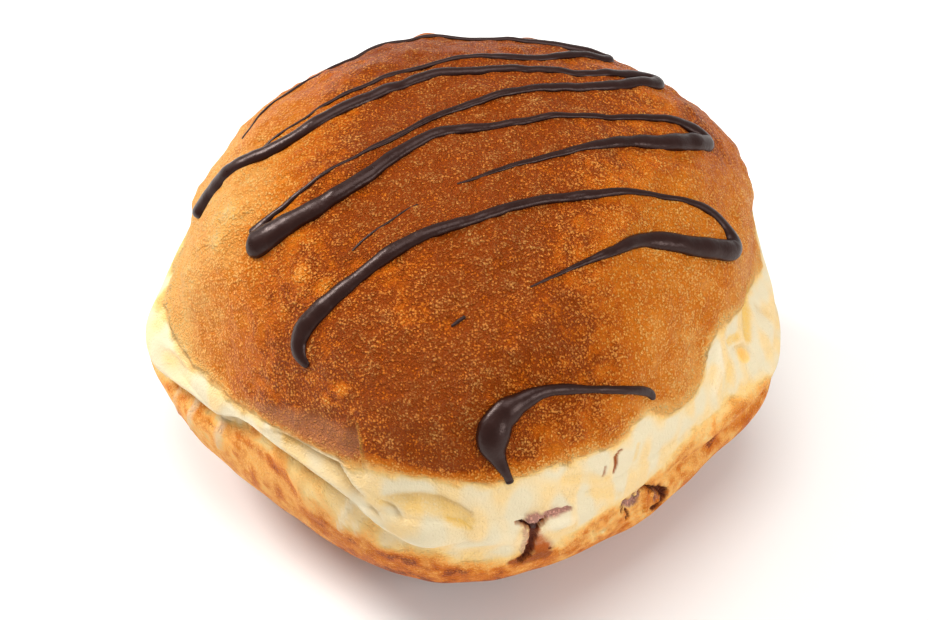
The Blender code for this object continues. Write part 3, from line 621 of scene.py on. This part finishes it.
def dough_surface(angle, lift):
    """The dough's fine surface and the masks for its colours, for arrays of azimuths and latitudes.

    Points move along the normal of the main form by ripples, blisters, ledges, marks and tears.
    """
    form = bun_form(angle, lift)
    normal = outward(angle, lift)
    z = form[..., 2]
    top = brown_edge(angle) + ripples(form, EDGE_RIPPLES)
    crust = smooth((z - top) / EDGE_SOFT + 0.5)
    foot = smooth((z - FOOT_FLAT) / FOOT_FADES)
    bumps = blisters(form, crust)
    offset = bumps * crust
    for wavelength, height, seed, on_belt in DOUGH_RIPPLES:
        offset += height * ripple(form, wavelength, seed) * (on_belt + (1 - on_belt) * crust)
    masks = {name: np.zeros(angle.shape) for name in PAINTS}
    masks["matte"] = FACET_SHARE * facet_share(angle, z, top)
    offset -= FACET_SUNK * masks["matte"]
    masks["brown"] = browning(angle, form, top, crust, bumps)
    masks["grainy"] = crust + (1 - crust) * BASE_GRAIN * smooth(masks["brown"] / 0.5)
    for _, line, out, reach, hollow, pale in LEDGES:
        step, below, rim_highlight = ledge(angle, z, line, out, reach)
        offset += step
        # Painted shade below each ledge and painted highlight along its upper edge, on the belt only
        masks["hollow"] = np.maximum(masks["hollow"], hollow * below * (1 - crust))
        masks["pale"] = np.maximum(masks["pale"], pale * rim_highlight * (1 - crust))
    for _, line, height, paint in MARKS:
        step, share = mark(angle, z, line, height)
        offset += step
        for name, amount in paint.items():
            masks[name] = masks[name] + amount * share
    for _, line, height, paint in TEARS:
        step, share, halo = tear(angle, z, form, line, height)
        offset = np.where(share > 0, np.minimum(offset, TEAR_LEVEL), offset) + step
        for name in ("torn", "stain"):
            masks[name] = masks[name] * (1 - share) + paint.get(name, 0) * share
        masks["brown"] = masks["brown"] + paint.get("brown", 0) * share
        masks["rust"] = np.maximum(masks["rust"], RUST_HALO * paint.get("stain", 0) * halo)
    masks["rust"] = np.maximum(masks["rust"], masks["stain"])
    offset += ripples(form, CRUMB_RIPPLES) * np.clip(masks["torn"], 0, 1)
    for name in masks:
        masks[name] = np.clip(masks[name], 0, 1)
    points = form + normal * (offset * foot)[..., None]
    points[..., 2] = np.maximum(points[..., 2], 0)
    return points, normal, masks


def round_table(angle, table):
    """Values at each azimuth from a table that goes once round the bun, its first column the azimuths."""
    at, *columns = np.array(table, float).T
    return [np.interp(np.degrees(angle) % 360, at, column, period=360) for column in columns]


def browning(angle, form, top, crust, bumps):
    """How brown the dough is, 0 for the cream belt and 1 for the darkest crust.

    The dome is paler on its sides, at its edge and on its blisters; on its left side and its front part of
    that is painted light. The base browns downwards from an uneven line. The belt is tanned in streaks and
    next to the crust, and under the lip its tan is painted shade.
    """
    x, y, z = form[..., 0] / MM, form[..., 1] / MM, form[..., 2] / MM
    dome = DOME_BROWN + ripples(form, DOME_DRIFT)
    # Paler sides: partly browning, partly painted light on the lit left side and the dim front
    for paler, way, start, over, least, second_way, second_start, second_over in DOME_PALER_AND_LIT:
        share = smooth((x * way[0] + y * way[1] - start) / over)
        second = smooth((x * second_way[0] + y * second_way[1] - second_start) / second_over)
        dome = dome - paler * share * (least + (1 - least) * second)
    above = form[..., 2] - top
    dome = dome * (DOME_RIM_BROWN + (1 - DOME_RIM_BROWN) * smooth(above / DOME_RIM))
    dome = dome - np.minimum(BLISTER_PALE * bumps / MM, BLISTER_PALEST)
    line, soft, deep = round_table(angle, BASE_BROWN)
    low = smooth((line - z + ripples(form, BASE_EDGE_RIPPLES)) / soft)
    deep = deep + BASE_DARKER * smooth((BASE_DARKER_FROM - z) / BASE_DARKER_OVER)
    base = low * (deep + ripples(form, BASE_DRIFT))
    # Painted shade under the lip, laid on as extra tan with its own streaks
    under = SHADE_UNDER_LIP * humps(angle, SHADE_UNDER_LIP_AT)
    under = under * smooth((lip_edge(angle) - form[..., 2]) / SHADE_UNDER_LIP_SOFT)
    streaks = np.clip(ripples(form * BELT_STREAKS, (STREAK_RIPPLE,)), -1, 1)
    belt = BELT_BROWN + under + (BELT_STREAK + SHADE_UNDER_LIP_STREAK * under) * streaks
    glow = GLOW * smooth(above / GLOW_WIDE + 1)
    return crust * dome + (1 - crust) * np.maximum(belt + glow, base)


def blisters(form, crust):
    """Height of small round blisters at seeded random places on the crust, and of the few large pimples.

    Each is a bell curve of the distance from its middle.
    """
    draw = np.random.default_rng(BLISTER_SEED)
    azimuth = draw.uniform(0, 2 * np.pi, BLISTERS)
    lift = np.arcsin(draw.uniform(BLISTER_LOWEST, 1, BLISTERS))
    places = bun_form(azimuth, lift)
    radii = draw.uniform(*BLISTER_RADIUS, BLISTERS)
    heights = draw.uniform(*BLISTER_HEIGHT, BLISTERS)
    for right, back, radius, height in PIMPLES:
        angle, lift = polar_place(right, back)
        places = np.vstack([places, bun_form(np.array([angle]), np.array([lift]))])
        radii = np.append(radii, radius)
        heights = np.append(heights, height)
    flat = form.reshape(-1, 3)
    total = np.zeros(len(flat))
    on_crust = (crust > 0).ravel()
    for place, radius, height in zip(places, radii, heights):
        aside = np.abs(flat[:, :2] - place[:2]).max(axis=1)
        near = on_crust & (aside < 2 * radius)
        far = np.linalg.norm(flat[near] - place, axis=1) / radius
        total[near] += height * np.exp(-(far**2) * BLISTER_ROUND)
    return total.reshape(form.shape[:-1])


def crowded_angles():
    """Azimuths once round the bun, closer together near the tears, from the running sum of a density."""
    fine = np.linspace(0, 2 * np.pi, 4001)
    density = 1 + humps(fine, ((CROWD_AT, CROWD_HALF, CROWD),))
    run = np.append(0, np.cumsum((density[1:] + density[:-1]) / 2))
    return np.interp(np.linspace(0, run[-1], SECTORS, endpoint=False), run, fine)


def ring_latitudes(angle):
    """Latitudes of all rings at each azimuth, in parts between the top, crust's edge, lip's edge and foot."""
    top, low = latitude(crust_edge(angle)), latitude(lip_edge(angle))
    foot = np.full(angle.shape, radians(FOOT_LATITUDE))
    stops = (np.pi / 2, top, low, foot, -np.pi / 2)
    parts = []
    for start, end, count in zip(stops, stops[1:], (DOME_RINGS, BELT_RINGS, UNDER_RINGS, FOOT_RINGS)):
        share = np.arange(count)[:, None] / count
        parts.append(start + (end - start) * share)
    return np.vstack(parts)[1:]


def closed_mesh(name, tubes):
    """One mesh of tubes: grids of rings, wrapped round, each closed at both ends by a fan to a point."""
    points, faces, count = [], [], 0
    for grid, start, end in tubes:
        rings, sectors = grid.shape[:2]
        here = np.arange(rings * sectors).reshape(rings, sectors) + count
        after = np.roll(here, -1, axis=1)
        quads = np.stack([here[:-1], here[1:], after[1:], after[:-1]], -1).reshape(-1, 4)
        first = np.stack([np.full(sectors, count + rings * sectors), here[0], after[0]], -1)
        last = np.stack([np.full(sectors, count + rings * sectors + 1), after[-1], here[-1]], -1)
        points.append(np.vstack([grid.reshape(-1, 3), start, end]))
        faces += quads.tolist() + first.tolist() + last.tolist()
        count += len(points[-1])
    mesh = bpy.data.meshes.new(name)
    mesh.from_pydata(np.vstack(points).tolist(), [], faces)
    mesh.shade_smooth()
    return mesh


def add_mask(mesh, name, values):
    """Values for each point of a mesh, which its material reads by name."""
    attribute = mesh.attributes.new(name, "FLOAT", "POINT")
    attribute.data.foreach_set("value", np.ascontiguousarray(values, np.float32))


def add_piece(name, mesh, material, slot, *nodes):
    """Object for a finished mesh: it rides on the one body and stands for the named nodes."""
    piece = bpy.data.objects.new(name, mesh)
    bpy.context.scene.collection.objects.link(piece)
    mesh.materials.append(material)
    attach(piece, "root")
    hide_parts(*nodes)
    return piece


def make_dough(material):
    """The bun's skin: rings of azimuths and latitudes on the fine surface, closed at top and foot."""
    rings = DOME_RINGS + BELT_RINGS + UNDER_RINGS + FOOT_RINGS - 1
    angle = np.broadcast_to(crowded_angles(), (rings, SECTORS))
    lift = ring_latitudes(angle[0])
    points, _, masks = dough_surface(angle, lift)
    ends, _, end_masks = dough_surface(np.zeros(2), np.array([np.pi / 2, -np.pi / 2]))
    mesh = closed_mesh("dough", [(points, ends[:1], ends[1:])])
    for name, values in masks.items():
        add_mask(mesh, name, np.append(values.ravel(), end_masks[name]))
    return add_piece("dough", mesh, material, "crust", "doughnut")


def through(rows, steps):
    """Catmull-Rom curve through the rows, with this many steps from one to the next."""
    rows = np.array(rows, float)
    ends = np.vstack([2 * rows[0] - rows[1], rows, 2 * rows[-1] - rows[-2]])
    t = np.linspace(0, 1, steps, endpoint=False)[:, None]
    parts = []
    for p0, p1, p2, p3 in zip(ends, ends[1:], ends[2:], ends[3:]):
        bend = 2 * p0 - 5 * p1 + 4 * p2 - p3 + t * (3 * p1 - 3 * p2 + p3 - p0)
        parts.append(p1 + 0.5 * t * (p2 - p0 + t * bend))
    return np.vstack([*parts, rows[-1:]])


def bead_rings(stroke, seed):
    """Rings of one bead and its end points.

    A ring is a half ellipse that stands on the skin and a flatter half that is sunk in it. Both ends of the
    bead are rounded off.
    """
    right, back, wide = through(stroke, STROKE_STEPS).T
    rough, _, _ = dough_surface(*polar_place(right, back))
    run = np.append(0, np.cumsum(np.linalg.norm(np.diff(rough, axis=0), axis=1)))
    stops = np.linspace(0, run[-1], int(run[-1] / BEAD_STEP))
    angle, lift = polar_place(np.interp(stops, run, right), np.interp(stops, run, back))
    middle, normal, _ = dough_surface(angle, lift)
    half = np.maximum(np.interp(stops, run, wide), BEAD_LEAST) * MM / 2
    half = half * (1 + BEAD_WOBBLE * ripple(middle, BEAD_RIPPLE, seed))
    for from_end in (stops, run[-1] - stops):
        near = np.clip(from_end / half, 0, 1)
        half = half * np.sqrt(np.clip(1 - (1 - near) ** 2, 0.02, 1))
    middle = soften(middle, BEAD_SOFTEN)
    across = unit(np.cross(unit(np.gradient(middle, axis=0)), normal))
    turn = np.linspace(0, 2 * np.pi, BEAD_SIDES, endpoint=False)[None, :, None]
    sine = np.sin(turn)
    lift_by = np.where(sine > 0, BEAD_TALL * np.abs(sine) ** 0.9, -BEAD_SUNK * np.abs(sine))
    profile = across[:, None] * np.cos(turn) + normal[:, None] * lift_by
    return middle[:, None] + half[:, None, None] * profile, middle[:1], middle[-1:]


def unit(rows):
    """Rows brought to a length of 1."""
    return rows / np.linalg.norm(rows, axis=1, keepdims=True)


def soften(rows, reach):
    """Running mean of the rows, with the ends kept."""
    kernel = np.hanning(2 * reach + 3)[1:-1]
    padded = np.vstack([np.repeat(rows[:1], reach, 0), rows, np.repeat(rows[-1:], reach, 0)])
    return np.stack([np.convolve(column, kernel / kernel.sum(), "valid") for column in padded.T], -1)


def make_drizzle(material):
    """All strokes of the drizzle, as one piece of beads."""
    beads = [bead_rings(stroke, seed) for seed, (_, stroke) in enumerate(DRIZZLE, BEAD_SEED)]
    return add_piece("drizzle", closed_mesh("drizzle", beads), material, "chocolate", "doughnut")


def make_filling(material):
    """Flat core whose radius grows to just under the skin where a tear is, seen from the core's middle."""
    lift = np.linspace(np.pi / 2, -np.pi / 2, FILLING_RINGS + 2)[1:-1]
    azimuth, lift = np.meshgrid(crowded_angles(), lift)
    way = np.stack([np.cos(lift) * np.cos(azimuth), np.cos(lift) * np.sin(azimuth), np.sin(lift)], -1)
    core = 1 / np.linalg.norm(way / CORE_RADII, axis=-1)
    reach, open_here = skin_reach(way)
    radius = core + (reach - core) * open_here + ripples(way * FILLING_RIPPLE_AT, (FILLING_RIPPLE,))
    points = CORE_PLACE + way * radius[..., None]
    poles = CORE_PLACE + np.array([[0, 0, CORE_RADII[2]], [0, 0, -CORE_RADII[2]]])
    mesh = closed_mesh("filling_inside", [(points, poles[:1], poles[1:])])
    return add_piece("filling_inside", mesh, material, "chocolate", "filling")


def aims(way):
    """Azimuth and latitude of each direction, one to a row."""
    return np.stack([np.arctan2(way[..., 1], way[..., 0]), np.arcsin(way[..., 2])], -1).reshape(-1, 2)


def skin_reach(way):
    """Distance from the core's middle to just under the skin along each direction, and where a tear lies.

    Each direction takes the nearest point of a fine table of the skin as seen from the core's middle.
    """
    lift = np.radians(np.linspace(-SKIN_LIFT, SKIN_LIFT, SKIN_ROWS))
    angle, lift = np.meshgrid(np.linspace(0, 2 * np.pi, SKIN_COLUMNS), lift)
    skin = bun_form(angle, lift)
    far = np.linalg.norm(skin - CORE_PLACE, axis=-1)
    seen = aims((skin - CORE_PLACE) / far[..., None])
    found = nearest(seen, aims(way)).reshape(way.shape[:-1])
    angle = angle.ravel()[found]
    height = skin[..., 2].ravel()[found]
    reach = far.ravel()[found] - FILLING_FACE * MM
    open_here = np.zeros(way.shape[:-1])
    for _, line, deep, _ in TEARS:
        if -deep < FILLING_FACE:
            continue
        line = np.array(line)
        distance, along = line_distance(angle, height, line[:, :2])
        half = np.interp(along, np.arange(len(line)), line[:, 2]) + FILLING_WIDER
        open_here = np.maximum(open_here, 1 - smooth((np.abs(distance) - half) / FILLING_SOFT + 0.5))
    return reach, open_here


def nearest(known, asked):
    """Index of the nearest known pair of angles for each asked pair."""
    tree = KDTree(len(known))
    for n, (a, b) in enumerate(known):
        tree.insert((a, b, 0), n)
    tree.balance()
    return np.array([tree.find((a, b, 0))[1] for a, b in asked])


def tone(colour, shade=1.0):
    """Linear colour, with alpha, from one given 0 to 255 as seen, darkened by the shade."""
    share = np.array(colour) * shade / 255
    linear = np.where(share <= 0.04045, share / 12.92, ((share + 0.055) / 1.055) ** 2.4)
    return (*linear.tolist(), 1.0)


def node(tree, kind, links=None, **settings):
    """Adds a shader node; links maps an input's name or number to a value or to another node's output."""
    made = tree.nodes.new(kind)
    for key, value in settings.items():
        setattr(made, key, value)
    for key, value in (links or {}).items():
        if isinstance(value, bpy.types.NodeSocket):
            tree.links.new(value, made.inputs[key])
        else:
            made.inputs[key].default_value = value
    return made


def maths(tree, operation, *values, clamp=False):
    """Output of a Math node that works on these values and sockets."""
    links = dict(enumerate(values))
    return node(tree, "ShaderNodeMath", links, operation=operation, use_clamp=clamp).outputs[0]


def times(tree, *values, clamp=False):
    """Product of two values or sockets."""
    return maths(tree, "MULTIPLY", *values, clamp=clamp)


def less(tree, *values, clamp=False):
    """First value or socket less the second."""
    return maths(tree, "SUBTRACT", *values, clamp=clamp)


def scaled(tree, *values, clamp=False):
    """First value or socket times the second, plus the third."""
    return maths(tree, "MULTIPLY_ADD", *values, clamp=clamp)


def mixed(tree, factor, first, second):
    """Colour that goes from the first to the second with the factor."""
    links = {"Factor": factor, 6: first, 7: second}
    return node(tree, "ShaderNodeMix", links, data_type="RGBA").outputs[2]


def ramp(tree, factor, stops):
    """Colour by the factor, from stops of a place and a colour."""
    made = node(tree, "ShaderNodeValToRGB", {"Fac": factor})
    points = made.color_ramp.elements
    while len(points) < len(stops):
        points.new(1.0)
    for point, (place, colour) in zip(points, stops):
        point.position = place
        point.color = colour
    return made.outputs["Color"]


def mask(tree, name):
    """Value of one of the mesh's masks."""
    return node(tree, "ShaderNodeAttribute", attribute_name=name).outputs["Fac"]


def noise(tree, place, scale, detail, roughness):
    """Value of a noise texture."""
    links = {"Vector": place, "Scale": scale, "Detail": detail, "Roughness": roughness}
    return node(tree, "ShaderNodeTexNoise", links).outputs["Fac"]


def grain_group():
    """Fine grain for every food surface at sizes given in metres.

    Two layers of round grains are 1 minus the squared distance from their middles. With fine noise they make
    the height; Tops are the grains' lit tops, and Mottle is slow noise.
    """
    group = bpy.data.node_groups.new("food_grain", "ShaderNodeTree")
    for name, value in (("Grain", 0.0005), ("Mottle", 0.004)):
        socket = group.interface.new_socket(name, in_out="INPUT", socket_type="NodeSocketFloat")
        socket.default_value = value
    for name in ("Mottle", "Tops", "Height"):
        group.interface.new_socket(name, in_out="OUTPUT", socket_type="NodeSocketFloat")
    inside = node(group, "NodeGroupInput")
    outside = node(group, "NodeGroupOutput")
    place = node(group, "ShaderNodeTexCoord").outputs["Object"]
    per_grain = maths(group, "DIVIDE", 1.0, inside.outputs["Grain"])
    fine_scale = times(group, per_grain, 1.3)
    slow_scale = maths(group, "DIVIDE", 1.0, inside.outputs["Mottle"])
    fine = noise(group, place, fine_scale, 3.0, 0.65)
    mottle = noise(group, place, slow_scale, 4.0, 0.62)
    layers = []
    for size in GRAIN_LAYERS:
        scale = times(group, per_grain, 1 / size)
        cells = node(group, "ShaderNodeTexVoronoi", {"Vector": place, "Scale": scale})
        far = times(group, cells.outputs["Distance"], 1.5)
        dome = less(group, 1.0, times(group, far, far), clamp=True)
        pick = node(group, "ShaderNodeSeparateColor", {"Color": cells.outputs["Color"]}).outputs["Red"]
        layers.append(times(group, dome, maths(group, "ADD", 0.35, pick)))
    coarse, small = layers
    height = scaled(group, small, 0.28, times(group, coarse, 0.5))
    height = scaled(group, less(group, fine, 0.5), 1.3, height)
    slow = less(group, mottle, 0.5)
    tops = scaled(group, slow, 0.5, less(group, height, 0.22))
    tops = times(group, tops, 1.9, clamp=True)
    for name, value in (("Mottle", mottle), ("Tops", tops), ("Height", height)):
        group.links.new(value, outside.inputs[name])
    return group


def grain(tree, group, size, mottle):
    """The food's grain in one material, at its own sizes."""
    return node(tree, "ShaderNodeGroup", {"Grain": size, "Mottle": mottle}, node_tree=group)


def new_material(name, finish):
    """Material with a Principled shader, whose sockets get the values of the finish."""
    material = bpy.data.materials.new(name)
    material.use_nodes = True
    shader = material.node_tree.nodes["Principled BSDF"]
    for socket, value in finish.items():
        shader.inputs[socket].default_value = value
    return material, material.node_tree, shader


def add_bump(tree, shader, height, depth):
    """Bumps of this depth in metres for a height of 1."""
    bump = node(tree, "ShaderNodeBump", {"Height": height, "Strength": 1.0, "Distance": depth})
    tree.links.new(bump.outputs["Normal"], shader.inputs["Normal"])


def dough_material(group):
    """Fried dough: browning drives the colour, grain tops carry painted highlights, tears are mauve and
    stained.
    """
    material, tree, shader = new_material("fried_dough", DOUGH_FINISH)
    surface = grain(tree, group, *DOUGH_GRAIN)
    tops = surface.outputs["Tops"]
    slow = less(tree, surface.outputs["Mottle"], 0.5)
    brown = mask(tree, "brown")
    grainy = mask(tree, "grainy")
    crusty = times(tree, less(tree, brown, 0.3), 2.5, clamp=True)

    uneven = scaled(tree, crusty, 0.55, 0.03)
    shade = scaled(tree, slow, uneven, brown)
    # Painted highlights: the grains' lit tops lighten the shade and take glints of peach
    lit_tops = times(tree, less(tree, tops, 0.4), grainy)
    shade = scaled(tree, lit_tops, -0.32, shade, clamp=True)
    colour = ramp(tree, shade, [(place, tone(seen)) for place, seen in CRUST_COLOURS])
    clusters = scaled(tree, slow, 1.4, 0.2, clamp=True)
    glint = times(tree, times(tree, tops, grainy), clusters)
    colour = mixed(tree, glint, colour, tone(GLINT_PEACH))
    for name, amount, tint in TINTS:
        share = times(tree, mask(tree, name), amount)
        bare = scaled(tree, tops, -0.4, 1.0)
        colour = mixed(tree, times(tree, share, bare), colour, tone(tint))

    # Torn crumb: painted shade between its grains and painted light on their tops
    crumb = mixed(tree, tops, tone(MAUVE, CRUMB_DARK), tone(MAUVE))
    rusty = scaled(tree, slow, 3.0, 1.3)
    colour = mixed(tree, times(tree, mask(tree, "rust"), rusty, clamp=True), colour, tone(RUST))
    colour = mixed(tree, mask(tree, "torn"), colour, crumb)
    colour = mixed(tree, mask(tree, "tick"), colour, tone(TICK))
    stained = mask(tree, "stain")
    stain = scaled(tree, slow, 0.9, stained)
    stain = times(tree, stain, times(tree, stained, 1.5, clamp=True), clamp=True)
    colour = mixed(tree, stain, colour, tone(STAIN))
    tree.links.new(colour, shader.inputs["Base Color"])

    rough = scaled(tree, crusty, -0.14, DOUGH_ROUGHNESS)
    rough = scaled(tree, mask(tree, "matte"), 0.12, rough)
    tree.links.new(rough, shader.inputs["Roughness"])
    height = scaled(tree, surface.outputs["Mottle"], 5.0, surface.outputs["Height"])
    height = times(tree, height, scaled(tree, grainy, 0.9, 0.1))
    add_bump(tree, shader, height, DOUGH_BUMP)
    return material


def chocolate_material(name, group, colour, roughness, bump_depth):
    """Set chocolate: near black brown, a little uneven, satin."""
    material, tree, shader = new_material(name, CHOCOLATE_FINISH)
    surface = grain(tree, group, *CHOCOLATE_GRAIN)
    mottle = surface.outputs["Mottle"]
    shaded = mixed(tree, mottle, tone(colour, CHOCOLATE_DARK), tone(colour))
    tree.links.new(shaded, shader.inputs["Base Color"])
    uneven = less(tree, mottle, 0.5)
    tree.links.new(scaled(tree, uneven, 0.35, roughness), shader.inputs["Roughness"])
    add_bump(tree, shader, scaled(tree, surface.outputs["Height"], 0.25, mottle), bump_depth)
    return material


def make_floor():
    """Plain whitish floor, far wider than the view."""
    finish = {"Base Color": tone(FLOOR), "Roughness": FLOOR_ROUGHNESS}
    material, _, _ = new_material("pale_floor", finish)
    mesh = bpy.data.meshes.new("floor")
    corners = [(-1, -1), (1, -1), (1, 1), (-1, 1)]
    mesh.from_pydata([(x * FLOOR_SIDE, y * FLOOR_SIDE, 0) for x, y in corners], [], [(0, 1, 2, 3)])
    mesh.materials.append(material)
    floor = bpy.data.objects.new("floor", mesh)
    bpy.context.scene.collection.objects.link(floor)


def aimed(thing, place, way):
    """Puts a light or camera in its place, looking this way."""
    thing.location = place
    thing.rotation_euler = way.to_track_quat("-Z", "Y").to_euler()
    bpy.context.scene.collection.objects.link(thing)


def make_light():
    """White surroundings and the round area lights."""
    world = bpy.data.worlds.new("studio")
    bpy.context.scene.world = world
    world.use_nodes = True
    background = world.node_tree.nodes["Background"]
    background.inputs["Color"].default_value = (1, 1, 1, 1)
    background.inputs["Strength"].default_value = WORLD_STRENGTH
    for name, place, size, power, colour in LIGHTS:
        light = bpy.data.lights.new(name, "AREA")
        light.shape = "DISK"
        light.size = size
        light.energy = power
        light.color = colour
        aimed(bpy.data.objects.new(name, light), place, Vector(LIGHT_TARGET) - Vector(place))


def make_camera():
    """Camera in front, above the target by its elevation."""
    tilt = radians(CAMERA_ELEVATION)
    back = Vector((0, -np.cos(tilt), np.sin(tilt)))
    data = bpy.data.cameras.new("camera")
    data.lens = CAMERA_LENS
    data.sensor_width = CAMERA_SENSOR
    data.clip_start = CAMERA_CLIP
    camera = bpy.data.objects.new("camera", data)
    aimed(camera, Vector(CAMERA_TARGET) + back * CAMERA_DISTANCE, -back)
    bpy.context.scene.camera = camera


group = grain_group()
drizzled = chocolate_material("drizzled_chocolate", group, CHOCOLATE, DRIZZLE_ROUGHNESS, DRIZZLE_BUMP)
soft = chocolate_material("soft_chocolate", group, SOFT_CHOCOLATE, FILLING_ROUGHNESS, FILLING_BUMP)
make_dough(dough_material(group))
make_drizzle(drizzled)
make_filling(soft)
make_floor()
make_light()
make_camera()
bpy.context.scene.view_settings.view_transform = "Standard"
